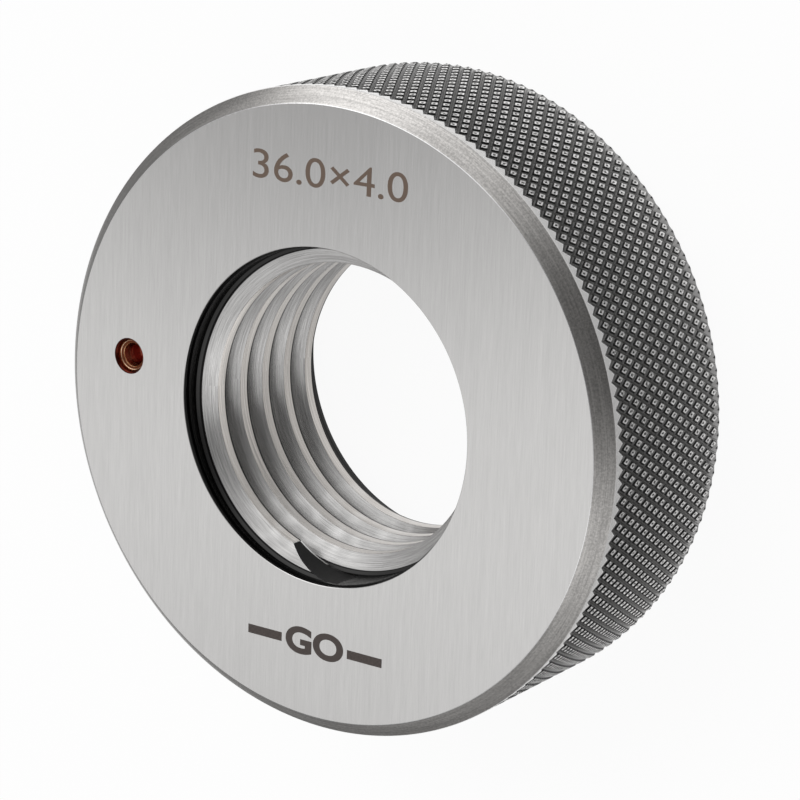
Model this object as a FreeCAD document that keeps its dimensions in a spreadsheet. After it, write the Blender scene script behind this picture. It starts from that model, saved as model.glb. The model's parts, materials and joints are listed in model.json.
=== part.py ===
import FreeCAD, Part
import math
import os
import Sketcher

# A solid thread ring gauge for a 36 mm thread of 4 mm pitch, lying on its back face.
# Millimetres. The bore's axis is Z, the front face with the plug is on top, and +Y is the side
# of the face that reads as its top, so that +X is to the right of someone who looks at the face.

SIZES = {
    # Ring
    "outer_diameter": 70.0,
    "thickness": 24.0,
    "front_chamfer": 1.7,
    "back_chamfer": 1.2,
    # Thread: the crest is the smallest diameter of the bore, and the shares are parts of the pitch
    "crest_diameter": 32.0,
    "pitch": 4.0,
    "crest_share": 0.35,
    "root_share": 0.044,
    "flank_angle": 30.0,
    "ridge_foot": 0.5,
    # Mouth: a shallow recess at each end, a little wider than the thread's root
    "mouth_step": 0.2,
    "mouth_share": 0.175,
    # Blunt starts: a cutter takes the thin end of the ridge away and just bites into the root
    "start_share": 0.69,
    "start_angle": 277.4,
    "cutter_diameter": 16.0,
    "cutter_bite": 0.08,
    # Hollow plug in the front face
    "plug_diameter": 4.0,
    "plug_angle": 175.0,
    "plug_depth": 6.0,
    "plug_drop": 0.1,
    "flare_drop": 0.65,
    "flare_diameter": 3.3,
    "lip_drop": 0.8,
    "lip_diameter": 2.6,
    "well_depth": 3.4,
    "drill_angle": 59.0,
    # Knurling of the rim, drawn coarser than the real one so that the solid stays light
    "knurl_count": 90,
    "knurl_angle": 30.0,
    "knurl_depth": 0.45,
    "knurl_relief": 0.02,
    "knurl_start": 2.1,
    "knurl_strip": 0.3,
}

# Sizes that follow from the ones above
DERIVED = {
    "crest_width": "=pitch * crest_share",
    "ridge_width": "=pitch * (1 - root_share)",
    "ridge_height": "=(ridge_width - crest_width) / 2 / tan(flank_angle * 1deg)",
    "root_radius": "=crest_diameter / 2 + ridge_height",
    "mouth_radius": "=root_radius + mouth_step",
    "mouth_depth": "=pitch * mouth_share",
    "start_inset": "=pitch * start_share",
    "ridge_rise": "=thickness - 2 * start_inset",
    "finish_angle": "=start_angle - 360 * ridge_rise / pitch",
    "cutter_orbit": "=root_radius + cutter_bite - cutter_diameter / 2",
    "cutter_depth": "=start_inset + pitch / 2",
    "plug_orbit": "=(mouth_radius + outer_diameter / 2 - front_chamfer) / 2 + mouth_step",
}

doc = FreeCAD.newDocument("thread_ring_gauge")


def make_sheet():
    sheet = doc.addObject("Spreadsheet::Sheet", "Sizes")
    rows = list(SIZES.items()) + list(DERIVED.items())
    for row, (alias, value) in enumerate(rows, start=1):
        sheet.set("A%d" % row, alias)
        sheet.set("B%d" % row, str(value))
        sheet.setAlias("B%d" % row, alias)
    doc.recompute()
    return sheet


def new_body(name):
    body = doc.addObject("PartDesign::Body", name)
    body.Label = name
    body.Placement = FreeCAD.Placement()
    return body


def new_sketch(body, name, plane, height=None, turned=None):
    """A sketch on one of the body's own planes, raised along its normal or turned about Z."""
    sketch = body.newObject("Sketcher::SketchObject", name)
    support = [feature for feature in body.Origin.OriginFeatures if feature.Role == plane]
    sketch.AttachmentSupport = [(support[0], "")]
    sketch.MapMode = "FlatFace"
    if height:
        sketch.setExpression("AttachmentOffset.Base.z", height)
    if turned:
        sketch.AttachmentOffset = FreeCAD.Placement(FreeCAD.Vector(), FreeCAD.Rotation(FreeCAD.Vector(0, 1, 0), 1))
        sketch.setExpression("AttachmentOffset.Rotation.Angle", turned)
    return sketch


def place_point(sketch, geometry, end, across, up):
    """Bind the place of one point of the sketch to two expressions."""
    for kind, expression in (("DistanceX", across), ("DistanceY", up)):
        index = sketch.addConstraint(Sketcher.Constraint(kind, -1, 1, geometry, end, 1.0))
        sketch.setExpression("Constraints[%d]" % index, expression)


def draw_outline(sketch, corners):
    """A closed outline of straight lines through corners that are given as expressions."""
    count = len(corners)
    turn = 2 * math.pi / count
    rough = [FreeCAD.Vector(math.cos(k * turn), math.sin(k * turn), 0) for k in range(count)]
    for k in range(count):
        sketch.addGeometry(Part.LineSegment(rough[k], rough[(k + 1) % count]))
    for k in range(count):
        sketch.addConstraint(Sketcher.Constraint("Coincident", k, 2, (k + 1) % count, 1))
    for k, (across, up) in enumerate(corners):
        place_point(sketch, k, 1, across, up)
    doc.recompute()


def draw_circle(sketch, radius, across, up):
    sketch.addGeometry(Part.Circle(FreeCAD.Vector(), FreeCAD.Vector(0, 0, 1), 1.0))
    place_point(sketch, 0, 3, across, up)
    index = sketch.addConstraint(Sketcher.Constraint("Radius", 0, 1.0))
    sketch.setExpression("Constraints[%d]" % index, radius)
    doc.recompute()


def draw_two_arcs(sketch, radius):
    """A circle about the origin as two half turns, which split the bore into half-turn faces."""
    centre = FreeCAD.Vector()
    axis = FreeCAD.Vector(0, 0, 1)
    circle = Part.Circle(centre, axis, 1.0)
    sketch.addGeometry(Part.ArcOfCircle(circle, 0, math.pi))
    sketch.addGeometry(Part.ArcOfCircle(circle, math.pi, 2 * math.pi))
    for arc in (0, 1):
        sketch.addConstraint(Sketcher.Constraint("Coincident", arc, 3, -1, 1))
        sketch.addConstraint(Sketcher.Constraint("Coincident", arc, 2, 1 - arc, 1))
    sketch.addConstraint(Sketcher.Constraint("PointOnObject", 0, 1, -1))
    index = sketch.addConstraint(Sketcher.Constraint("Radius", 0, 1.0))
    sketch.setExpression("Constraints[%d]" % index, radius)
    doc.recompute()


def revolve(body, name, sketch):
    feature = body.newObject("PartDesign::Revolution", name)
    feature.Profile = sketch
    feature.ReferenceAxis = (sketch, ["V_Axis"])
    feature.Angle = 360
    doc.recompute()
    return feature


def pocket(body, name, sketch, depth=None, upward=False):
    """Cut the sketch through the body, or to a depth, and make sure that it took metal away."""
    before = body.Shape.Volume
    feature = body.newObject("PartDesign::Pocket", name)
    feature.Profile = sketch
    feature.Reversed = upward
    feature.Refine = False
    if depth:
        feature.Type = "Length"
        feature.setExpression("Length", depth)
    else:
        feature.Type = "ThroughAll"
    doc.recompute()
    if body.Shape.Volume >= before:
        raise RuntimeError(name + " cuts nothing")
    return feature


def ring_blank(body):
    """The turned ring with its chamfers, its bore at the thread's root and both mouths."""
    sketch = new_sketch(body, "BlankProfile", "XZ_Plane")
    root = "Sizes.root_radius"
    mouth = "Sizes.mouth_radius"
    rim = "Sizes.outer_diameter / 2"
    top = "Sizes.thickness"
    draw_outline(sketch, [
        (root, "Sizes.mouth_depth"),
        (mouth, "Sizes.mouth_depth"),
        (mouth, "0 mm"),
        (rim + " - Sizes.back_chamfer", "0 mm"),
        (rim, "Sizes.back_chamfer"),
        (rim, top + " - Sizes.front_chamfer"),
        (rim + " - Sizes.front_chamfer", top),
        (mouth, top),
        (mouth, top + " - Sizes.mouth_depth"),
        (root, top + " - Sizes.mouth_depth"),
    ])
    return revolve(body, "Blank", sketch)


def thread_ridge(body):
    """The right-hand thread: a ridge of trapezoid section wound up the bore from back to front."""
    sketch = new_sketch(body, "RidgeProfile", "XZ_Plane", turned="Sizes.finish_angle")
    root = "Sizes.root_radius"
    foot = root + " + Sizes.ridge_foot"
    tip = "Sizes.crest_diameter / 2 - Sizes.ridge_foot"
    half_tip = "(Sizes.crest_width / 2 - Sizes.ridge_foot * tan(Sizes.flank_angle * 1deg))"
    half_foot = "Sizes.ridge_width / 2"
    middle = "Sizes.start_inset"
    draw_outline(sketch, [
        (foot, middle + " - " + half_foot),
        (foot, middle + " + " + half_foot),
        (root, middle + " + " + half_foot),
        (tip, middle + " + " + half_tip),
        (tip, middle + " - " + half_tip),
        (root, middle + " - " + half_foot),
    ])
    ridge = body.newObject("PartDesign::AdditiveHelix", "ThreadRidge")
    ridge.Profile = sketch
    ridge.ReferenceAxis = (sketch, ["V_Axis"])
    ridge.Mode = "pitch-height-angle"
    ridge.setExpression("Pitch", "Sizes.pitch")
    ridge.setExpression("Height", "Sizes.ridge_rise")
    ridge.LeftHanded = False
    ridge.Refine = False
    doc.recompute()
    return ridge


def thread_crest(body):
    """Bore the ridge to the crest diameter, which leaves its flat crest."""
    sketch = new_sketch(body, "CrestCircle", "XY_Plane")
    draw_two_arcs(sketch, "Sizes.crest_diameter / 2")
    return pocket(body, "CrestBore", sketch, upward=True)


def blunt_start(body, name, angle, height, upward):
    """Mill the thin end of the ridge away with a round cutter."""
    sketch = new_sketch(body, name + "Circle", "XY_Plane", height=height)
    across = "Sizes.cutter_orbit * cos(%s * 1deg)" % angle
    up = "Sizes.cutter_orbit * sin(%s * 1deg)" % angle
    draw_circle(sketch, "Sizes.cutter_diameter / 2", across, up)
    return pocket(body, name, sketch, depth="Sizes.cutter_depth", upward=upward)


def plug_place():
    across = "Sizes.plug_orbit * cos(Sizes.plug_angle * 1deg)"
    up = "Sizes.plug_orbit * sin(Sizes.plug_angle * 1deg)"
    return across, up


def plug_hole(body):
    """The blind hole in the front face that holds the plug."""
    sketch = new_sketch(body, "PlugHoleCircle", "XY_Plane", height="Sizes.thickness")
    draw_circle(sketch, "Sizes.plug_diameter / 2", *plug_place())
    return pocket(body, "PlugHole", sketch, depth="Sizes.plug_depth")


def turned_ring():
    body = new_body("turned_ring")
    ring_blank(body)
    thread_ridge(body)
    thread_crest(body)
    blunt_start(body, "FrontStart", "Sizes.start_angle", "Sizes.thickness", False)
    blunt_start(body, "BackStart", "Sizes.finish_angle", "0 mm", True)
    plug_hole(body)
    return body


def knurl_lattice(radius, depth, columns, rows, low, high):
    """Points and triangles of a knurled rim: groove crossings and diamond tips take turns."""
    points = []
    for row in range(rows + 1):
        height = low + (high - low) * row / rows
        for column in range(columns):
            reach = radius - depth * ((row + column + 1) % 2)
            turn = 2 * math.pi * column / columns
            points.append(FreeCAD.Vector(reach * math.cos(turn), reach * math.sin(turn), height))
    triangles = []
    for row in range(rows):
        for column in range(columns):
            here = row * columns + column
            beside = row * columns + (column + 1) % columns
            above = here + columns
            across = beside + columns
            if (row + column) % 2 == 0:
                triangles += [(here, beside, across), (here, across, above)]
            else:
                triangles += [(here, beside, above), (beside, across, above)]
    return points, triangles


def close_ends(points, triangles, columns, low, high):
    """Add a flat fan to each end of the lattice."""
    last_row = len(points) - columns
    bottom = len(points)
    top = bottom + 1
    points += [FreeCAD.Vector(0, 0, low), FreeCAD.Vector(0, 0, high)]
    for column in range(columns):
        beside = (column + 1) % columns
        triangles.append((beside, column, bottom))
        triangles.append((last_row + column, last_row + beside, top))


def knurl_cutter(sheet):
    """The sleeve that the knurling takes off the rim: a tube with the knurled form as its bore."""
    rim = sheet.outer_diameter / 2
    low = sheet.back_chamfer + sheet.knurl_strip
    high = sheet.thickness - sheet.knurl_start
    columns = 2 * round(sheet.knurl_count)
    row_height = 2 * math.pi * rim / columns / math.tan(math.radians(sheet.knurl_angle))
    rows = round((high - low) / row_height)
    radius = rim - sheet.knurl_relief
    points, triangles = knurl_lattice(radius, sheet.knurl_depth, columns, rows, low, high)
    close_ends(points, triangles, columns, low, high)
    surface = Part.Shape()
    surface.makeShapeFromMesh((points, triangles), sheet.knurl_relief / 10)
    core = Part.makeSolid(surface).removeSplitter()
    tube = Part.makeCylinder(rim + sheet.knurl_depth, high - low, FreeCAD.Vector(0, 0, low))
    cutter = doc.addObject("Part::Feature", "KnurlCutter")
    cutter.Shape = tube.cut(core)
    cutter.Placement = FreeCAD.Placement()
    return cutter


def gauge_ring(sheet):
    """The turned and threaded ring after its rim is knurled."""
    ring = doc.addObject("Part::Cut", "gauge_ring")
    ring.Base = turned_ring()
    ring.Tool = knurl_cutter(sheet)
    ring.Refine = False
    ring.Label = "gauge_ring"
    ring.Placement = FreeCAD.Placement()
    doc.recompute()
    if ring.Shape.Volume >= ring.Base.Shape.Volume:
        raise RuntimeError("the knurling cuts nothing")
    return ring


def copper_plug():
    """A turned hollow plug: flared rim, narrow inner lip and a drilled well with a cone at its end."""
    body = new_body("copper_plug")
    sketch = new_sketch(body, "PlugProfile", "XZ_Plane")
    top = "Sizes.plug_depth - "
    lip = "Sizes.lip_diameter / 2"
    draw_outline(sketch, [
        ("0 mm", "0 mm"),
        ("Sizes.plug_diameter / 2", "0 mm"),
        ("Sizes.plug_diameter / 2", top + "Sizes.plug_drop"),
        ("Sizes.flare_diameter / 2", top + "Sizes.flare_drop"),
        (lip, top + "Sizes.lip_drop"),
        (lip, top + "Sizes.well_depth"),
        ("0 mm", top + "Sizes.well_depth - " + lip + " / tan(Sizes.drill_angle * 1deg)"),
    ])
    revolve(body, "PlugTurned", sketch)
    across, up = plug_place()
    body.setExpression("Placement.Base.x", across)
    body.setExpression("Placement.Base.y", up)
    body.setExpression("Placement.Base.z", "Sizes.thickness - Sizes.plug_depth")
    doc.recompute()
    return body


parts = [gauge_ring(make_sheet()), copper_plug()]
doc.recompute()

for item in doc.Objects:
    if "Invalid" in item.State or "Error" in item.State:
        raise RuntimeError("%s failed: %s" % (item.Name, item.State))
for part in parts:
    if part.Shape.isNull() or not part.Shape.isValid() or len(part.Shape.Solids) != 1:
        raise RuntimeError("%s is not one valid solid" % part.Label)

os.makedirs("parts", exist_ok=True)
for part in parts:
    part.Shape.exportStep("parts/%s.step" % part.Label)
    box = part.Shape.BoundBox
    print("%s  volume %.1f  faces %d  box %.3f %.3f %.3f to %.3f %.3f %.3f" % (
        part.Label, part.Shape.Volume, len(part.Shape.Faces),
        box.XMin, box.YMin, box.ZMin, box.XMax, box.YMax, box.ZMax))
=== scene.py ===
import json
import math

import bmesh
import bpy
from mathutils import Matrix, Vector, geometry


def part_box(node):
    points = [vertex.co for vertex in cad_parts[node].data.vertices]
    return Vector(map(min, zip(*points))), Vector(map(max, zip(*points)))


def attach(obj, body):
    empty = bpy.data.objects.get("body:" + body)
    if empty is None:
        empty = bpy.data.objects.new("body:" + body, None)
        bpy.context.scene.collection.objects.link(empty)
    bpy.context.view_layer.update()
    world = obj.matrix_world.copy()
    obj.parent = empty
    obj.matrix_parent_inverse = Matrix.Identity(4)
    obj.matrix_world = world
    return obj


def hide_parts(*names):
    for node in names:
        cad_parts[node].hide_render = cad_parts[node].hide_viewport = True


# Looks of a solid thread ring gauge that lies on its back face. Lengths are millimetres until a
# mesh is made, angles are degrees, and the part's own frame is kept: Z is the bore's axis.

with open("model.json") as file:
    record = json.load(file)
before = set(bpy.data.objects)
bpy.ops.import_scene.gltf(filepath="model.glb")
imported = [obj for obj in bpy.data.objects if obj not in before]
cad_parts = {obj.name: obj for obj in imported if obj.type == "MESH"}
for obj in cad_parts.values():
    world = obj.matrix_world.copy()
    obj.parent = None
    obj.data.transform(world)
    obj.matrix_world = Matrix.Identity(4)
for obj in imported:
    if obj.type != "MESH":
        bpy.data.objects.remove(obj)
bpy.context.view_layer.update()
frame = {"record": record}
MM = 0.001

# Sizes that come from the frame
ring_low, ring_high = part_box("gauge_ring")
plug_low, plug_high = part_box("copper_plug")
RIM = ring_high.x / MM
THICKNESS = ring_high.z / MM
CREST = frame["record"]["mounts"][0]["dims"]["r_mm"]
PLUG_PLACE = Vector(((plug_low.x + plug_high.x) / 2 / MM, (plug_low.y + plug_high.y) / 2 / MM))
PLUG_RADIUS = (plug_high.x - plug_low.x) / 2 / MM
PLUG_FLOOR = plug_low.z / MM

# Thread: a right-hand ridge of trapezoid section, with a blunt start at each end
PITCH = 4.0
CREST_WIDTH = 0.35 * PITCH
RIDGE_WIDTH = 0.956 * PITCH
FLANK = math.tan(math.radians(30))
ROOT = CREST + (RIDGE_WIDTH - CREST_WIDTH) / 2 / FLANK
START_ANGLE = 277.4
START_INSET = 0.69 * PITCH
FINISH_ANGLE = START_ANGLE - 360 * (THICKNESS - 2 * START_INSET) / PITCH
EDGE_BREAK = 0.05
CREST_BREAK = 0.02
CREST_SHADE_LINE = 0.22
CUT_EDGE = 0.8

# Black oxide stays in the thread's root, beyond a circle that sits a little off the axis
OXIDE_RADIUS = 17.64
OXIDE_SWAY = 0.12
OXIDE_SIDE = math.radians(5)

# Chatter of the grinding wheel, painted as bright glints, shows on the flanks round this side of
# the bore
CHATTER_GLINT_SIDE = math.radians(-107)

# Mouths and the cutter that made the blunt starts
MOUTH = ROOT + 0.2
MOUTH_DEPTH = 0.175 * PITCH
MOUTH_LIP = 0.05
CUTTER_RADIUS = 8.0
CUTTER_OVERLAP = 0.08
CUTTER_ORBIT = ROOT + CUTTER_OVERLAP - CUTTER_RADIUS

# Rim: the knurling's rows are half a diamond high, and depths count from the front face
FRONT_CHAMFER = 1.7
BACK_CHAMFER = 1.2
KNURL_COUNT = 157
KNURL_DEPTH = 0.36
KNURL_FIRST = 3.69
KNURL_ROW = 1.2
KNURL_ROWS = 16
GROOVE_APEX = 2.1
STRIP_POINT = 2.96
STRIP_EDGE = 0.1

# Loops of a diamond: share of its full width, depth under the rim, and fullness of its sides
DIAMOND_SHOULDER = (0.56, 0.06, 1.02)
DIAMOND_TOP = (0.50, 0.0, 1.06)
DIAMOND_HOLLOW = (0.24, 0.02, 1.1)
HOLLOW_DEPTH = 0.10

# Mesh fineness: columns round the bore, half diamonds and columns round the rim, and the plug
BORE_COLUMNS = 480
HALF_COLUMNS = 2 * KNURL_COUNT
RIM_COLUMNS = 2 * HALF_COLUMNS
PLUG_COLUMNS = 96

# Marks: heights on the face, and sizes of the numbers, the word and the bars beside it
MARK_LIFT = 0.006
MARK_HEIGHT = 3.1
NUMBERS_LINE = 25.9
NUMBERS_WIDTH = 19.6
WORD_LINE = -25.2
WORD_WIDTH = 7.6
WORD_WEIGHT = 0.04
BAR_INNER = 4.3
BAR_OUTER = 8.8
BAR_HEIGHT = 1.0


# Camera of the photograph, found from the circles of the ring and from its thread

CAMERA_AIM = (1.8372, -0.0629, 12.0)
CAMERA_DISTANCE = 345.2918
CAMERA_AZIMUTH = 26.3768
CAMERA_ELEVATION = 53.2044
CAMERA_ROLL = -109.5035
CAMERA_LENS = 144.32


def make_camera():
    place = (Matrix.Translation(Vector(CAMERA_AIM) * MM)
             @ Matrix.Rotation(math.radians(90 + CAMERA_AZIMUTH), 4, "Z")
             @ Matrix.Rotation(math.radians(90 - CAMERA_ELEVATION), 4, "X")
             @ Matrix.Rotation(math.radians(CAMERA_ROLL), 4, "Z")
             @ Matrix.Translation((0, 0, CAMERA_DISTANCE * MM)))
    camera = bpy.data.objects.new("Camera", bpy.data.cameras.new("Camera"))
    camera.data.lens = CAMERA_LENS
    camera.data.sensor_width = 36.0
    camera.data.clip_start = 0.01
    camera.data.clip_end = 20.0
    camera.matrix_world = place
    bpy.context.scene.collection.objects.link(camera)
    bpy.context.scene.camera = camera


# Mesh helpers

def polar(radius, angle, height):
    turn = math.radians(angle)
    return Vector((radius * math.cos(turn), radius * math.sin(turn), height))


def new_vertex(mesh, place):
    return mesh.verts.new(place * MM)


def new_face(mesh, corners, slot):
    """A face from its corners without repeats, or nothing where fewer than three are left."""
    kept = []
    for corner in corners:
        if corner not in kept:
            kept.append(corner)
    if len(kept) < 3:
        return
    face = mesh.faces.new(kept)
    face.material_index = slot
    face.smooth = True


def bridge(mesh, first, second, slot):
    """Quads between two closed loops with the same number of vertices."""
    for index in range(len(first)):
        beside = (index + 1) % len(first)
        new_face(mesh, (first[index], first[beside], second[beside], second[index]), slot)


def circle(mesh, radius, height, columns, centre=Vector((0, 0))):
    offset = Vector((centre.x, centre.y, 0))
    return [new_vertex(mesh, offset + polar(radius, 360 * k / columns, height))
            for k in range(columns)]


def fill_between(mesh, outer, holes, slot):
    """Flat triangles between an outer loop and the loops inside it."""
    loops = [outer] + holes
    corners = [corner for loop in loops for corner in loop]
    outlines = [[corner.co for corner in loop] for loop in loops]
    for triangle in geometry.tessellate_polygon(outlines):
        new_face(mesh, [corners[index] for index in triangle], slot)


def finish_piece(mesh, name, materials, node, crease=15):
    """Weld and orient the mesh, keep its creases sharp, and dress it as a piece for its node."""
    bmesh.ops.remove_doubles(mesh, verts=mesh.verts, dist=0.002 * MM)
    bmesh.ops.triangulate(mesh, faces=[face for face in mesh.faces if len(face.verts) > 4])
    bmesh.ops.recalc_face_normals(mesh, faces=mesh.faces)
    for edge in mesh.edges:
        if len(edge.link_faces) == 2 and edge.calc_face_angle(0) > math.radians(crease):
            edge.smooth = False
    data = bpy.data.meshes.new(name)
    mesh.to_mesh(data)
    mesh.free()
    for material in materials:
        data.materials.append(material)
    piece = bpy.data.objects.new(name, data)
    bpy.context.scene.collection.objects.link(piece)
    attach(piece, "root")
    if node:
        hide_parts(node)


# Bore: columns of named rows, which are stitched where two neighbours share a row

# Places in the ridge's section, which runs from its low foot to its high foot
SHOULDER_LOW, CREST_LOW, CREST_HIGH = 1, 2, 3

# The outermost rows of the two mouths
BACK_LIP = ("back", 0)
FRONT_LIP = ("front", 3)


def cutter_reach(turn):
    """How far from the bore's axis the cutter reaches, at an angle from its own direction."""
    sideways = CUTTER_ORBIT * math.sin(math.radians(turn))
    if math.cos(math.radians(turn)) < 0 or abs(sideways) >= CUTTER_RADIUS:
        return 0.0
    forward = CUTTER_ORBIT * math.cos(math.radians(turn))
    return forward + math.sqrt(CUTTER_RADIUS ** 2 - sideways ** 2)


def ridge_rows(angle):
    """The ridge's section at an unrolled angle: pairs of radius and height, from low to high.

    The crest's low edge is set back by the width of the painted shade line beside it.
    """
    middle = THICKNESS - START_INSET - (START_ANGLE - angle) * PITCH / 360
    reach = max(cutter_reach(START_ANGLE - angle) if START_ANGLE - angle < 90 else 0.0,
                cutter_reach(angle - FINISH_ANGLE) if angle - FINISH_ANGLE < 90 else 0.0)
    wall = max(ROOT, reach)
    top = max(CREST, reach)
    half_top = CREST_WIDTH / 2 + (min(top, ROOT) - CREST) * FLANK
    shoulder = min(top + CREST_BREAK, wall)
    half_shoulder = min(half_top + CREST_BREAK * FLANK, RIDGE_WIDTH / 2)
    rows = [(wall, RIDGE_WIDTH / 2), (shoulder, half_shoulder), (top, half_top - CREST_BREAK)]
    low = [(radius, middle - half) for radius, half in rows]
    high = [(radius, middle + half) for radius, half in reversed(rows)]
    low[CREST_LOW] = (top, middle - half_top + CREST_SHADE_LINE)
    return low + high


def mouth_rows(reach):
    """The rows of a mouth, from the thread outwards: pairs of radius and depth below the face."""
    rows = [(max(ROOT, reach), MOUTH_DEPTH), (MOUTH, MOUTH_DEPTH)]
    rows += [(MOUTH, MOUTH_LIP), (MOUTH + MOUTH_LIP, 0.0)]
    return rows


def column_rows(column):
    """All rows of one column of the bore, from the back face to the front, by name."""
    angle = 360 * column / BORE_COLUMNS
    front = cutter_reach(angle - START_ANGLE)
    back = cutter_reach(angle - FINISH_ANGLE)
    rows = {}
    for index, (radius, depth) in enumerate(reversed(mouth_rows(back))):
        rows["back", index] = (radius, depth)
    first_turn = math.ceil((FINISH_ANGLE - angle) / 360)
    last_turn = math.floor((START_ANGLE - angle) / 360)
    for turn in range(first_turn, last_turn + 1):
        for index, place in enumerate(ridge_rows(angle + 360 * turn)):
            rows["ridge", turn, index] = place
    for index, (radius, depth) in enumerate(mouth_rows(front)):
        rows["front", index] = (radius, THICKNESS - depth)
    return rows


def row_slot(low, high, corners):
    """The material slot of the faces between two rows."""
    if low == BACK_LIP or high == FRONT_LIP:
        return FACE
    if low[0] != "ridge" or low[:2] != high[:2]:
        return MOUTH_WALL
    row = low[2]
    reach = min(corner.co.xy.length for corner in corners) / MM
    milled = reach > CREST + CREST_BREAK / 2
    if row == CREST_LOW and milled:
        return CUT
    # Painted highlight: the milled start's thin edges take the light edge steel.
    if row in (SHOULDER_LOW, CREST_HIGH) and milled and reach < CREST + CUT_EDGE:
        return EDGE
    # Painted shade: the band along each crest's low edge takes the black oxide slot, standing in
    # for the shade of the root beyond it.
    if row == SHOULDER_LOW and not milled:
        return MOUTH_WALL
    return THREAD


def stitch(mesh, left, right):
    """Faces between two columns. A row that only one of them has becomes a further corner."""
    shared = [name for name in left if name in right]
    left_names = list(left)
    right_names = list(right)
    for low, high in zip(shared, shared[1:]):
        left_side = left_names[left_names.index(low):left_names.index(high) + 1]
        right_side = right_names[right_names.index(low):right_names.index(high) + 1]
        corners = [left[name] for name in left_side]
        corners += [right[name] for name in reversed(right_side)]
        new_face(mesh, corners, row_slot(low, high, corners))


def make_bore(mesh):
    """The threaded bore. Returns its loops of vertices at the back face and at the front face."""
    columns = []
    for column in range(BORE_COLUMNS):
        angle = 360 * column / BORE_COLUMNS
        rows = column_rows(column)
        columns.append({name: new_vertex(mesh, polar(radius, angle, height))
                        for name, (radius, height) in rows.items()})
    for left, right in zip(columns, columns[1:]):
        stitch(mesh, left, right)
    after = {}
    for name, corner in columns[0].items():
        after[("ridge", name[1] - 1, name[2]) if name[0] == "ridge" else name] = corner
    stitch(mesh, columns[-1], after)
    return [column[BACK_LIP] for column in columns], [column[FRONT_LIP] for column in columns]


# Rim: diamonds between two sets of crossing grooves, with a small hollow in the top of each

def knurl_angle(column):
    return 360 * column / HALF_COLUMNS


def knurl_height(row):
    return THICKNESS - KNURL_FIRST - row * KNURL_ROW


def make_crossings(mesh):
    """The points where grooves cross, by half column and row. The last ones are on the chamfer."""
    crossings = {}
    for row in range(-1, KNURL_ROWS + 1):
        height = knurl_height(row) if row < KNURL_ROWS else BACK_CHAMFER - KNURL_DEPTH
        for column in range(row % 2 - 1, HALF_COLUMNS - 1, 2):
            place = polar(RIM - KNURL_DEPTH, knurl_angle(column), height)
            crossings[column % HALF_COLUMNS, row] = new_vertex(mesh, place)
    return crossings


def diamond_loop(mesh, column, row, share, depth, fullness):
    """Eight vertices round the middle of a diamond: its corners, and its sides' middles."""
    half_width = math.radians(360 / HALF_COLUMNS) * RIM
    loop = []
    for step in range(8):
        turn = math.radians(45 * step)
        reach = share * (fullness if step % 2 else 1.0)
        across = math.copysign(math.cos(turn) ** 2, math.cos(turn)) * half_width * reach
        up = math.copysign(math.sin(turn) ** 2, math.sin(turn)) * KNURL_ROW * reach
        angle = knurl_angle(column) + math.degrees(across / RIM)
        loop.append(new_vertex(mesh, polar(RIM - depth, angle, knurl_height(row) + up)))
    return loop


def make_diamond(mesh, crossings, column, row):
    """A pyramid on four crossings, blunt at the top, with a hollow pressed into it."""
    corners = [crossings[(column + 1) % HALF_COLUMNS, row], crossings[column, row - 1],
               crossings[(column - 1) % HALF_COLUMNS, row], crossings[column, row + 1]]
    shoulder = diamond_loop(mesh, column, row, *DIAMOND_SHOULDER)
    top = diamond_loop(mesh, column, row, *DIAMOND_TOP)
    hollow = diamond_loop(mesh, column, row, *DIAMOND_HOLLOW)
    floor = new_vertex(mesh, polar(RIM - HOLLOW_DEPTH, knurl_angle(column), knurl_height(row)))
    for side in range(4):
        near = corners[side]
        far = corners[(side + 1) % 4]
        first, middle = shoulder[2 * side:2 * side + 2]
        last = shoulder[(2 * side + 2) % 8]
        new_face(mesh, (near, middle, first), KNURL)
        new_face(mesh, (near, far, middle), KNURL)
        new_face(mesh, (far, last, middle), KNURL)
    bridge(mesh, shoulder, top, KNURL)
    bridge(mesh, top, hollow, KNURL_TOP)
    for step in range(8):
        new_face(mesh, (hollow[step], hollow[(step + 1) % 8], floor), KNURL_TOP)


def strip_height(column):
    """The lower edge of the plain strip: points between the grooves, apexes over them."""
    share = (0.0, 0.5, 1.0, 0.5)[column % 4]
    return THICKNESS - GROOVE_APEX - share * (STRIP_POINT - GROOVE_APEX)


def strip_loop(mesh, radius, rise):
    """A loop along the lower edge of the plain strip, or a little above it."""
    return [new_vertex(mesh, polar(radius, 360 * column / RIM_COLUMNS, strip_height(column) + rise))
            for column in range(RIM_COLUMNS)]


def make_strip_end(mesh, crossings, edge):
    """The grooves run out into the plain strip beside the front chamfer."""
    for column in range(1, HALF_COLUMNS, 2):
        tip = edge[2 * column]
        low = crossings[column, 0]
        for side in (-1, 1):
            apex = edge[2 * (column + side) % RIM_COLUMNS]
            between = edge[(2 * column + side) % RIM_COLUMNS]
            high = crossings[(column + side) % HALF_COLUMNS, -1]
            new_face(mesh, (apex, between, tip, low, high), KNURL)


def make_back_end(mesh, crossings):
    """Half diamonds that the back chamfer cuts. Returns the edge loop of the chamfer."""
    height = knurl_height(KNURL_ROWS)
    radius = RIM - BACK_CHAMFER + height
    edge = []
    for column in range(HALF_COLUMNS):
        if (column, KNURL_ROWS) in crossings:
            edge.append(crossings[column, KNURL_ROWS])
        else:
            edge.append(new_vertex(mesh, polar(radius, knurl_angle(column), height)))
    for column in range(HALF_COLUMNS):
        if (column, KNURL_ROWS) not in crossings:
            above = crossings[column, KNURL_ROWS - 1]
            for side in (-1, 1):
                new_face(mesh, (above, edge[column], edge[(column + side) % HALF_COLUMNS]), KNURL)
    return edge


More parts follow.
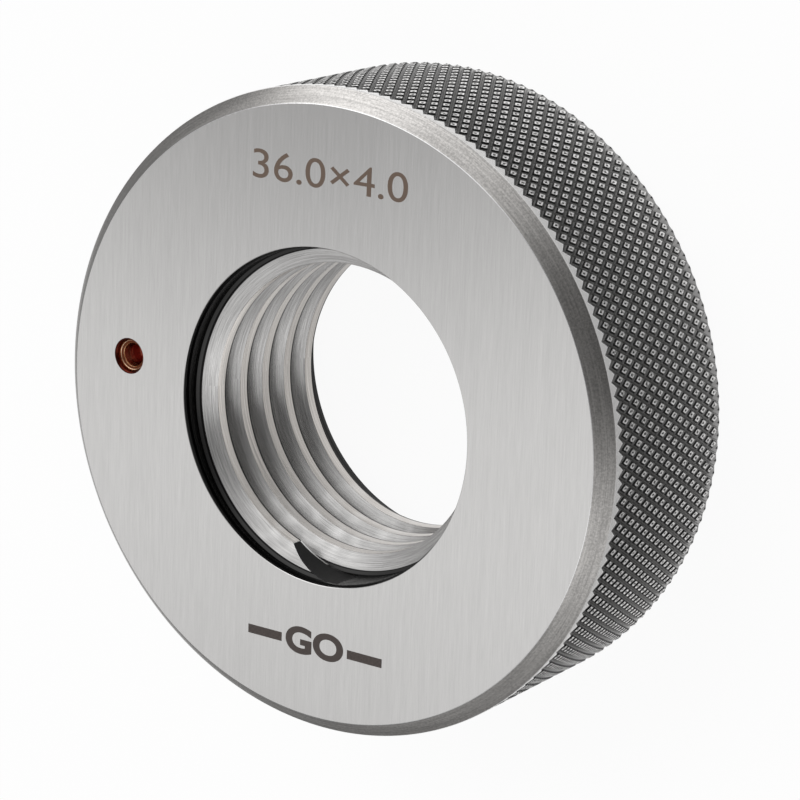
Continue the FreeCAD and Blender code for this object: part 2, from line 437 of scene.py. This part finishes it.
def make_front_end(mesh, crossings):
    """The plain strip and the front chamfer. Returns the edge loop of the face."""
    chamfer_foot = THICKNESS - FRONT_CHAMFER
    edge = strip_loop(mesh, RIM - EDGE_BREAK / 2, 0.0)
    strip_low = strip_loop(mesh, RIM, STRIP_EDGE)
    strip_high = circle(mesh, RIM, chamfer_foot - EDGE_BREAK, RIM_COLUMNS)
    chamfer_low = circle(mesh, RIM - EDGE_BREAK, chamfer_foot + EDGE_BREAK, RIM_COLUMNS)
    chamfer_high = circle(mesh, RIM - FRONT_CHAMFER + EDGE_BREAK / 2, THICKNESS - EDGE_BREAK,
                          RIM_COLUMNS)
    face_edge = circle(mesh, RIM - FRONT_CHAMFER - EDGE_BREAK, THICKNESS, RIM_COLUMNS)
    make_strip_end(mesh, crossings, edge)
    # The edge faces at the strip's zigzag and at the face's edge take the light edge steel: painted
    # highlight lines.
    bridge(mesh, edge, strip_low, EDGE)
    bridge(mesh, strip_low, strip_high, STRIP)
    bridge(mesh, strip_high, chamfer_low, STRIP)
    bridge(mesh, chamfer_low, chamfer_high, CHAMFER)
    bridge(mesh, chamfer_high, face_edge, EDGE)
    return face_edge


def make_rim(mesh):
    """Chamfers, plain strip and knurling. Returns the loops at the back face and the front face."""
    crossings = make_crossings(mesh)
    for row in range(KNURL_ROWS):
        for column in range(row % 2, HALF_COLUMNS, 2):
            make_diamond(mesh, crossings, column, row)
    front_loop = make_front_end(mesh, crossings)
    back_edge = make_back_end(mesh, crossings)
    back_loop = circle(mesh, RIM - BACK_CHAMFER, 0.0, HALF_COLUMNS)
    bridge(mesh, back_edge, back_loop, CHAMFER)
    return back_loop, front_loop


# Ring: its material slots, and the mesh between the bore and the rim

FACE, CHAMFER, STRIP, EDGE, KNURL, KNURL_TOP, THREAD, MOUTH_WALL, CUT = range(9)


def make_ring(materials):
    mesh = bmesh.new()
    bore_back, bore_front = make_bore(mesh)
    rim_back, rim_front = make_rim(mesh)
    hole = circle(mesh, PLUG_RADIUS, THICKNESS, PLUG_COLUMNS, PLUG_PLACE)
    hole_floor = circle(mesh, PLUG_RADIUS, PLUG_FLOOR, PLUG_COLUMNS, PLUG_PLACE)
    fill_between(mesh, rim_front, [bore_front, hole], FACE)
    fill_between(mesh, rim_back, [bore_back], FACE)
    bridge(mesh, hole, hole_floor, MOUTH_WALL)
    new_face(mesh, hole_floor, MOUTH_WALL)
    finish_piece(mesh, "ring", materials, "gauge_ring")


# Plug: a turned profile of radius and depth below the face, from the rim to the drilled well

PLUG_PROFILE = [
    (PLUG_RADIUS, 0.10), (1.97, 0.06), (1.90, 0.09), (1.80, 0.24), (1.72, 0.44), (1.67, 0.60),
    (1.63, 0.655), (1.56, 0.68), (1.38, 0.72), (1.33, 0.75), (1.30, 0.82), (1.28, 0.95),
    (1.26, 1.60), (1.22, 1.68), (1.26, 1.76), (1.22, 1.95), (1.26, 2.1), (1.20, 2.4), (1.15, 3.0),
    (0.95, 3.25), (0.5, 3.5),
]


def make_plug(materials):
    mesh = bmesh.new()
    loops = [circle(mesh, PLUG_RADIUS, PLUG_FLOOR, PLUG_COLUMNS, PLUG_PLACE)]
    for radius, depth in PLUG_PROFILE:
        loops.append(circle(mesh, radius, THICKNESS - depth, PLUG_COLUMNS, PLUG_PLACE))
    for below, above in zip(loops, loops[1:]):
        bridge(mesh, below, above, 0)
    new_face(mesh, loops[0], 0)
    new_face(mesh, loops[-1], 0)
    finish_piece(mesh, "plug", materials, "copper_plug", crease=40)


# Node trees

class Graph:
    """Short calls for the nodes of one tree."""

    def __init__(self, tree):
        self.tree = tree

    def new(self, kind, **settings):
        node = self.tree.nodes.new(kind)
        for name, value in settings.items():
            setattr(node, name, value)
        return node

    def feed(self, socket, value):
        """Link an output to a socket, or set the socket to a plain value."""
        if isinstance(value, bpy.types.NodeSocket):
            self.tree.links.new(value, socket)
        else:
            socket.default_value = value

    def math(self, operation, first, second=0.0, clamp=False):
        node = self.new("ShaderNodeMath", operation=operation, use_clamp=clamp)
        self.feed(node.inputs[0], first)
        self.feed(node.inputs[1], second)
        return node.outputs[0]

    def times(self, value, factor):
        return self.math("MULTIPLY", value, factor)

    def vector_math(self, operation, first, second, output):
        node = self.new("ShaderNodeVectorMath", operation=operation)
        self.feed(node.inputs[0], first)
        self.feed(node.inputs[1], second)
        return node.outputs[output]

    def distance(self, place, centre):
        return self.vector_math("DISTANCE", place, centre, "Value")

    def split(self, vector):
        node = self.new("ShaderNodeSeparateXYZ")
        self.feed(node.inputs[0], vector)
        return node.outputs

    def spread(self, value, low, high, start=0.0, end=1.0, curve="LINEAR"):
        """A value that runs from start to end while another one runs from low to high."""
        node = self.new("ShaderNodeMapRange", interpolation_type=curve)
        for name, part in (("Value", value), ("From Min", low), ("From Max", high),
                           ("To Min", start), ("To Max", end)):
            self.feed(node.inputs[name], part)
        return node.outputs[0]

    def choose(self, share, first, second):
        """The first number where share is 0, and the second one where it is 1."""
        node = self.new("ShaderNodeMix")
        self.feed(node.inputs[0], share)
        self.feed(node.inputs[2], first)
        self.feed(node.inputs[3], second)
        return node.outputs[0]


class Paint(Graph):
    """The nodes of one material. Places are millimetres of the part's frame."""

    def __init__(self, name):
        self.material = bpy.data.materials.new(name)
        self.material.use_nodes = True
        super().__init__(self.material.node_tree)
        self.shader = self.tree.nodes["Principled BSDF"]
        place = self.new("ShaderNodeTexCoord").outputs["Object"]
        self.place = self.vector_math("MULTIPLY", place, (1 / MM, 1 / MM, 1 / MM), "Vector")

    def scaled(self, *factors):
        return self.vector_math("MULTIPLY", self.place, factors, "Vector")

    def join(self, x, y, z):
        node = self.new("ShaderNodeCombineXYZ")
        for socket, value in zip(node.inputs, (x, y, z)):
            self.feed(socket, value)
        return node.outputs[0]

    def radius(self, centre=Vector((0, 0))):
        """The distance from an upright line, which is the bore's axis if nothing else is said."""
        x, y, z = self.split(self.place)
        east = self.math("SUBTRACT", x, centre.x)
        north = self.math("SUBTRACT", y, centre.y)
        square = self.math("ADD", self.times(east, east), self.times(north, north))
        return self.math("POWER", square, 0.5)

    def angle(self):
        x, y, z = self.split(self.place)
        return self.math("ARCTAN2", y, x)

    def height(self):
        return self.split(self.place)[2]

    def noise(self, vector, scale=1.0, detail=3.0, roughness=0.6):
        node = self.new("ShaderNodeTexNoise")
        self.feed(node.inputs["Vector"], vector)
        node.inputs["Scale"].default_value = scale
        node.inputs["Detail"].default_value = detail
        node.inputs["Roughness"].default_value = roughness
        return node.outputs[0]

    def shaken(self, value, grain, width):
        """A value moved up and down by a grain, within a width."""
        return self.math("ADD", value, self.times(self.math("SUBTRACT", grain, 0.5), width))

    def weighed(self, first, second, share):
        """Two values added up, the second one with the given share."""
        return self.math("ADD", self.times(first, 1 - share), self.times(second, share))

    def ramp(self, value, stops):
        """Colours along a value: stops are pairs of value and colour."""
        low = stops[0][0]
        high = stops[-1][0]
        node = self.new("ShaderNodeValToRGB")
        self.feed(node.inputs[0], self.spread(value, low, high))
        elements = node.color_ramp.elements
        while len(elements) < len(stops):
            elements.new(0.5)
        for element, (place, colour) in zip(elements, stops):
            element.position = (place - low) / (high - low)
            element.color = (*colour, 1.0)
        return node.outputs[0]

    def mix(self, share, first, second, blend="MIX"):
        node = self.new("ShaderNodeMix", data_type="RGBA", blend_type=blend)
        self.feed(node.inputs[0], share)
        for socket, value in ((node.inputs[6], first), (node.inputs[7], second)):
            self.feed(socket, value if isinstance(value, bpy.types.NodeSocket) else (*value, 1.0))
        return node.outputs[2]

    def bump(self, height, distance, strength):
        node = self.new("ShaderNodeBump")
        self.feed(node.inputs["Height"], height)
        node.inputs["Distance"].default_value = distance * MM
        node.inputs["Strength"].default_value = strength
        self.feed(self.shader.inputs["Normal"], node.outputs[0])

    def blur_across(self):
        """Reflections blurred across the lines that run round the ring's axis."""
        tangent = self.new("ShaderNodeTangent", direction_type="RADIAL", axis="Z")
        self.feed(self.shader.inputs["Tangent"], tangent.outputs[0])
        self.shader.inputs["Anisotropic"].default_value = 0.85
        self.shader.inputs["Anisotropic Rotation"].default_value = 0.25

    def finish(self, colour, roughness, metallic=1.0, specular=0.5):
        self.feed(self.shader.inputs["Base Color"], colour)
        self.shader.inputs["Roughness"].default_value = roughness
        self.shader.inputs["Metallic"].default_value = metallic
        self.shader.inputs["Specular IOR Level"].default_value = specular
        return self.material


# Materials

BLACK = (0.0, 0.0, 0.0)
WHITE = (1.0, 1.0, 1.0)


def grey(level, warmth=0.01):
    return (level * (1 + warmth), level, level * (1 - warmth))


def face_steel():
    """Ground flat and brushed straight, along the Y side of the face."""
    paint = Paint("face_steel")
    streaks = paint.noise(paint.scaled(7.0, 0.22, 1.0), detail=4.0, roughness=0.7)
    long_streaks = paint.noise(paint.scaled(1.6, 0.05, 1.0), detail=2.0)
    tone = paint.weighed(streaks, long_streaks, 0.3)
    colour = paint.ramp(tone, [(0.3, grey(0.575, 0.012)), (0.7, grey(0.67, 0.012))])
    paint.bump(streaks, 0.002, 0.5)
    return paint.finish(colour, 0.18)


def turned_steel(name, dark, light, roughness, metallic=1.0):
    """Turned on a lathe: fine lines run round the ring."""
    paint = Paint(name)
    across = paint.times(paint.math("SUBTRACT", paint.radius(), paint.height()), 3.2)
    around = paint.times(paint.angle(), 2.2)
    lines = paint.noise(paint.join(across, around, 0.0), detail=5.0, roughness=0.75)
    grain = paint.noise(paint.place, 4.5, detail=4.0, roughness=0.75)
    tone = paint.weighed(lines, grain, 0.5)
    colour = paint.ramp(tone, [(0.42, dark), (0.58, light)])
    paint.bump(tone, 0.012, 0.7)
    return paint.finish(colour, roughness, metallic)


def knurl_side():
    """The sides of the diamonds, with painted shade at the bottom of the grooves and in a band
    round the tops.
    """
    paint = Paint("knurl_steel")
    grain = paint.noise(paint.place, 5.0)
    foot = RIM - KNURL_DEPTH
    top_shade_edge = RIM - 0.17
    # Painted shade by radius: darker at the groove bottoms and in a band just under the tops.
    colour = paint.ramp(paint.shaken(paint.radius(), grain, 0.08), [
        (foot, grey(0.16)), (foot + 0.03, grey(0.43)), (top_shade_edge - 0.02, grey(0.43)),
        (top_shade_edge + 0.02, grey(0.05))])
    paint.bump(grain, 0.02, 0.5)
    return paint.finish(colour, 0.5)


def knurl_top():
    """The diamonds' tops, bright in patches from wear, with painted shade in the hollows."""
    paint = Paint("knurl_top")
    grain = paint.noise(paint.place, 3.6, detail=2.0)
    patches = paint.ramp(grain, [(0.40, grey(0.40)), (0.52, grey(0.98))])
    # Painted shade: the hollows darken towards their floor.
    hollow_edge = RIM - DIAMOND_HOLLOW[1]
    hollow = paint.ramp(paint.radius(), [(hollow_edge - 0.04, grey(0.06)), (hollow_edge, WHITE)])
    paint.bump(grain, 0.02, 0.5)
    return paint.finish(paint.mix(1.0, patches, hollow, "MULTIPLY"), 0.3, 0.55, specular=0.0)


def thread_with_painted_light(paint, lines):
    """Bare steel of the crests and flanks, with painted light: crests painted lighter and warmer
    than the flanks as a painted reflection, painted glints of chatter, and the first turn painted
    lighter, with painted shade above and below it.
    """
    flank = paint.ramp(lines, [(0.38, grey(0.46, 0.012)), (0.62, grey(0.74, 0.012))])
    # Painted reflection: the crests get a lighter, warmer copy of the flanks' steel.
    crest = paint.ramp(lines, [(0.38, grey(0.64, 0.05)), (0.62, grey(0.90, 0.05))])
    on_crest = paint.math("LESS_THAN", paint.radius(), CREST + CREST_BREAK)
    # Painted glints: the chatter patches are painted brighter than white steel.
    glinting_steel = paint.mix(chatter_glint_share(paint), paint.mix(on_crest, flank, crest), grey(1.15))
    # Painted light and shade by height: lighter along the first turn, darker on the turns below it
    # and towards the front mouth.
    first_turn = paint.ramp(paint.height(), [
        (19.6, grey(0.90, 0.0)), (20.8, grey(1.12, 0.0)), (22.4, grey(0.76, 0.0))])
    return paint.mix(1.0, glinting_steel, first_turn, "MULTIPLY")


def chatter_glint_share(paint):
    """Where the chatter of the grinding wheel shows as painted glints: bright patches on one side
    of the bore.
    """
    along = paint.join(paint.times(paint.angle(), 9.0), paint.times(paint.radius(), 0.5),
                       paint.times(paint.height(), 0.5))
    patches = paint.math("SUBTRACT", paint.noise(along, detail=0.0), 0.42)
    toward = paint.math("COSINE", paint.math("SUBTRACT", paint.angle(), CHATTER_GLINT_SIDE))
    side = paint.ramp(toward, [(0.9, BLACK), (0.97, WHITE)])
    return paint.math("MULTIPLY", side, patches, clamp=True)


def oxide_share(paint):
    """Where black oxide covers the thread: beyond a circle a little off the axis."""
    turn = paint.math("SUBTRACT", paint.angle(), OXIDE_SIDE)
    edge = paint.math("ADD", paint.times(paint.math("COSINE", turn), OXIDE_SWAY), OXIDE_RADIUS)
    beyond = paint.math("SUBTRACT", paint.radius(), edge)
    return paint.ramp(beyond, [(-0.02, BLACK), (0.02, WHITE)])


def thread_steel():
    """Ground crests and flanks, and black oxide left in the root."""
    paint = Paint("thread_steel")
    along = paint.join(paint.times(paint.radius(), 15.0), paint.times(paint.angle(), 0.9),
                       paint.times(paint.height(), 5.0))
    lines = paint.noise(along, detail=4.0, roughness=0.8)
    oxide = paint.ramp(paint.radius(), [
        (17.6, grey(0.010)), (17.73, grey(0.012)), (17.78, grey(0.055)), (18.05, grey(0.05)),
        (18.10, grey(0.01))])
    colour = paint.mix(oxide_share(paint), thread_with_painted_light(paint, lines), oxide)
    paint.bump(lines, 0.004, 0.5)
    paint.blur_across()
    return paint.finish(colour, 0.26)


def mouth_oxide():
    """Black oxide over fine turned rings."""
    paint = Paint("mouth_oxide")
    rings = paint.noise(paint.join(paint.times(paint.height(), 7.0), paint.angle(), 0.0))
    colour = paint.ramp(rings, [(0.35, grey(0.008)), (0.65, grey(0.04))])
    paint.bump(rings, 0.02, 0.6)
    return paint.finish(colour, 0.25)


def cut_oxide():
    """Matt charcoal on the milled thread start."""
    paint = Paint("cut_oxide")
    grain = paint.noise(paint.place, 6.0)
    colour = paint.ramp(grain, [(0.35, grey(0.014)), (0.65, grey(0.024))])
    paint.bump(grain, 0.01, 0.4)
    return paint.finish(colour, 0.55, 0.3, specular=0.2)


def copper():
    """Turned copper with light and shade painted by radius: a wall in painted shade, two painted
    highlights on the edges with a land in painted shade between them, and a maroon well in painted
    shade with a lighter painted glint at its middle.
    """
    paint = Paint("copper")
    grain = paint.noise(paint.place, 5.0, detail=2.0)
    # Painted light by radius: shaded wall and land, bright highlight rings, and a pinkish glint at
    # the middle of the well.
    colour = paint.ramp(paint.shaken(paint.radius(PLUG_PLACE), grain, 0.05), [
        (0.0, (0.62, 0.34, 0.34)), (0.7, (0.42, 0.14, 0.13)), (1.23, (0.30, 0.07, 0.05)),
        (1.27, (1.00, 0.82, 0.60)), (1.32, (0.90, 0.58, 0.36)), (1.36, (0.10, 0.028, 0.012)),
        (1.59, (0.12, 0.034, 0.015)), (1.62, (1.00, 0.80, 0.58)), (1.66, (0.72, 0.36, 0.19)),
        (1.70, (0.13, 0.022, 0.012)), (1.95, (0.07, 0.010, 0.006))])
    paint.bump(grain, 0.03, 0.6)
    return paint.finish(colour, 0.25)


def etched(name, dark, light):
    """Etched marking, brownish dark with a little grain."""
    paint = Paint(name)
    grain = paint.noise(paint.place, 4.0)
    return paint.finish(paint.ramp(grain, [(0.35, dark), (0.65, light)]), 0.6, 0.0)


# Marking: plain numbers over the bore, and the plain word of a go gauge between two bars under it

def make_lettering(name, text, line, width, material, weight=0.0):
    """Flat lettering on the front face, fitted to a width and to the height of the marks."""
    curve = bpy.data.curves.new(name, "FONT")
    curve.body = text
    curve.align_x = "CENTER"
    curve.align_y = "CENTER"
    curve.bevel_depth = weight
    curve.materials.append(material)
    mark = bpy.data.objects.new(name, curve)
    bpy.context.scene.collection.objects.link(mark)
    bpy.context.view_layer.update()
    size = mark.dimensions
    mark.scale = (width * MM / size.x, MARK_HEIGHT * MM / size.y, 0.1 * MM)
    mark.location = Vector((0, line, THICKNESS + MARK_LIFT)) * MM
    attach(mark, "root")


def make_bar(name, start, end, material):
    """A flat bar beside the word, in line with its middle."""
    mesh = bmesh.new()
    low = WORD_LINE - BAR_HEIGHT / 2
    high = WORD_LINE + BAR_HEIGHT / 2
    corners = [(start, low), (end, low), (end, high), (start, high)]
    new_face(mesh, [new_vertex(mesh, Vector((x, y, THICKNESS + MARK_LIFT))) for x, y in corners], 0)
    finish_piece(mesh, name, [material], None)


def make_marks():
    brown = etched("etched_brown", (0.10, 0.065, 0.045), (0.135, 0.095, 0.07))
    dark = etched("etched_dark", (0.035, 0.026, 0.022), (0.06, 0.045, 0.04))
    make_lettering("mark_size", "36.0×4.0", NUMBERS_LINE, NUMBERS_WIDTH, brown)
    make_lettering("mark_go", "GO", WORD_LINE, WORD_WIDTH, dark, WORD_WEIGHT)
    make_bar("mark_bar_left", -BAR_OUTER, -BAR_INNER, dark)
    make_bar("mark_bar_right", BAR_INNER, BAR_OUTER, dark)


# Floor, light and background

FLOOR_REACH = 3.0
FLOOR_GREY = 0.8
FLOOR_WHITE = 0.94

# What the metal mirrors of the floor's glow, which is painted light: a white sheet that fades at
# its edge, a darker table beyond it, darkest at the right, and a painted shade under the bore.
# Places and reaches are millimetres.
SHEET_MIDDLE = (-16, -4, 0)
SHEET_FADE = (46, 67)
SHEET_LEVEL = 0.95
TABLE_REACH = 60
TABLE_LEVELS = (0.22, 0.08)
BORE_MIDDLE = (-4, 3, 0)
BORE_SHADE = (2.5, 16)
BORE_LEVEL = 0.33


def mirrored_floor(graph):
    """How bright the floor glows in the metal's reflections: painted light, with a painted shade
    under the bore.
    """
    place = graph.new("ShaderNodeTexCoord").outputs["Object"]
    table = graph.spread(graph.split(place)[0], -TABLE_REACH * MM, TABLE_REACH * MM, *TABLE_LEVELS)
    from_sheet = graph.distance(place, Vector(SHEET_MIDDLE) * MM)
    from_bore = graph.distance(place, Vector(BORE_MIDDLE) * MM)
    sheet = graph.spread(from_sheet, SHEET_FADE[0] * MM, SHEET_FADE[1] * MM, SHEET_LEVEL, table,
                         "SMOOTHSTEP")
    shade = graph.spread(from_bore, BORE_SHADE[0] * MM, BORE_SHADE[1] * MM, BORE_LEVEL)
    return graph.math("MULTIPLY", sheet, shade)


def make_floor():
    """Pale floor that takes the part's shadow, is white where the camera looks, and glows with
    painted light in the metal's reflections.
    """
    mesh = bpy.data.meshes.new("floor")
    corners = [(-FLOOR_REACH, -FLOOR_REACH, 0), (FLOOR_REACH, -FLOOR_REACH, 0),
               (FLOOR_REACH, FLOOR_REACH, 0), (-FLOOR_REACH, FLOOR_REACH, 0)]
    mesh.from_pydata(corners, [], [(0, 1, 2, 3)])
    floor = bpy.data.objects.new("floor", mesh)
    bpy.context.scene.collection.objects.link(floor)
    material = bpy.data.materials.new("floor")
    material.use_nodes = True
    graph = Graph(material.node_tree)
    shader = graph.tree.nodes["Principled BSDF"]
    shader.inputs["Base Color"].default_value = (FLOOR_GREY, FLOOR_GREY, FLOOR_GREY, 1)
    shader.inputs["Roughness"].default_value = 0.9
    shader.inputs["Specular IOR Level"].default_value = 0.0
    ray = graph.new("ShaderNodeLightPath").outputs
    white = graph.new("ShaderNodeEmission")
    level = graph.choose(ray["Is Camera Ray"], mirrored_floor(graph), 1.0)
    graph.feed(white.inputs["Strength"], level)
    seen = graph.math("MAXIMUM", ray["Is Camera Ray"], ray["Is Glossy Ray"])
    mixer = graph.new("ShaderNodeMixShader")
    graph.feed(mixer.inputs[0], graph.times(seen, FLOOR_WHITE))
    graph.feed(mixer.inputs[1], shader.outputs[0])
    graph.feed(mixer.inputs[2], white.outputs[0])
    graph.feed(graph.tree.nodes["Material Output"].inputs["Surface"], mixer.outputs[0])
    mesh.materials.append(material)


# The studio round the part: a direction, its inner and outer reach in degrees, and what it adds
# to the plain level. The fifth side and the last one are soft boxes, and the others are darker.
PLAIN_LEVEL = 1.0
DARKEST_LEVEL = 0.1
STUDIO_SIDES = [
    ((-0.57, -0.05, 0.82), 6, 13, -0.62),
    ((-0.55, -0.50, 0.67), 5, 14, -0.3),
    ((0.15, 0.30, 0.94), 8, 23, -0.38),
    ((0.36, 0.10, 0.93), 5, 8, -0.42),
    ((0.43, -0.22, 0.87), 6, 12, 0.12),
    ((0.68, -0.62, 0.38), 4, 12, -0.1),
    ((0.77, 0.30, 0.56), 8, 52, -0.84),
    ((0.93, 0.25, -0.05), 16, 40, -0.7),
    ((0.05, -0.98, 0.02), 12, 54, -0.6),
    ((-0.93, 0.36, 0.05), 8, 34, -0.6),
    ((0.22, -0.60, 0.77), 4, 18, -0.36),
    ((-0.47, 0.86, 0.21), 8, 30, 0.75),
]


def make_world():
    """White where the camera looks, and a soft studio with a few lighter and darker sides."""
    world = bpy.data.worlds.new("studio")
    bpy.context.scene.world = world
    world.use_nodes = True
    graph = Graph(world.node_tree)
    direction = graph.new("ShaderNodeTexCoord").outputs["Generated"]
    level = PLAIN_LEVEL
    for middle, inner, outer, added in STUDIO_SIDES:
        toward = graph.vector_math("DOT_PRODUCT", direction, Vector(middle).normalized(), "Value")
        side = graph.spread(toward, math.cos(math.radians(outer)), math.cos(math.radians(inner)),
                            0.0, added, "SMOOTHSTEP")
        level = graph.math("ADD", side, level)
    level = graph.math("MAXIMUM", level, DARKEST_LEVEL)
    ray = graph.new("ShaderNodeLightPath").outputs
    seen = graph.math("MAXIMUM", ray["Is Camera Ray"], ray["Is Transmission Ray"])
    background = graph.tree.nodes["Background"]
    background.inputs["Color"].default_value = (1, 1, 1, 1)
    graph.feed(background.inputs["Strength"], graph.choose(seen, level, 1.0))


# The lamp's place and size are metres
LAMP_PLACE = Vector((-0.25, 0.45, 0.75))
LAMP_SIZE = 0.5
LAMP_POWER = 2.6


def make_lamp():
    """A square soft box that looks at the middle of the ring and isn't mirrored in it."""
    data = bpy.data.lights.new("soft_box", "AREA")
    data.shape = "SQUARE"
    data.size = LAMP_SIZE
    data.energy = LAMP_POWER
    lamp = bpy.data.objects.new("soft_box", data)
    lamp.location = LAMP_PLACE
    lamp.rotation_mode = "QUATERNION"
    from_ring = LAMP_PLACE - Vector((0, 0, THICKNESS / 2 * MM))
    lamp.rotation_quaternion = from_ring.to_track_quat("Z", "Y")
    lamp.visible_glossy = False
    bpy.context.scene.collection.objects.link(lamp)


def main():
    make_camera()
    chamfer = turned_steel("chamfer_steel", grey(0.34, 0.03), grey(0.60, 0.03), 0.28)
    strip = turned_steel("strip_steel", grey(0.90), grey(0.99), 0.3, 0.4)
    # Painted highlights: the thin edge bevels get a lighter steel than the surfaces beside them.
    edge = turned_steel("edge_steel", grey(0.80, 0.0), grey(0.96, 0.0), 0.26)
    make_ring([face_steel(), chamfer, strip, edge, knurl_side(), knurl_top(), thread_steel(),
               mouth_oxide(), cut_oxide()])
    make_plug([copper()])
    make_marks()
    make_floor()
    make_world()
    make_lamp()
    bpy.context.scene.view_settings.view_transform = "Standard"


main()
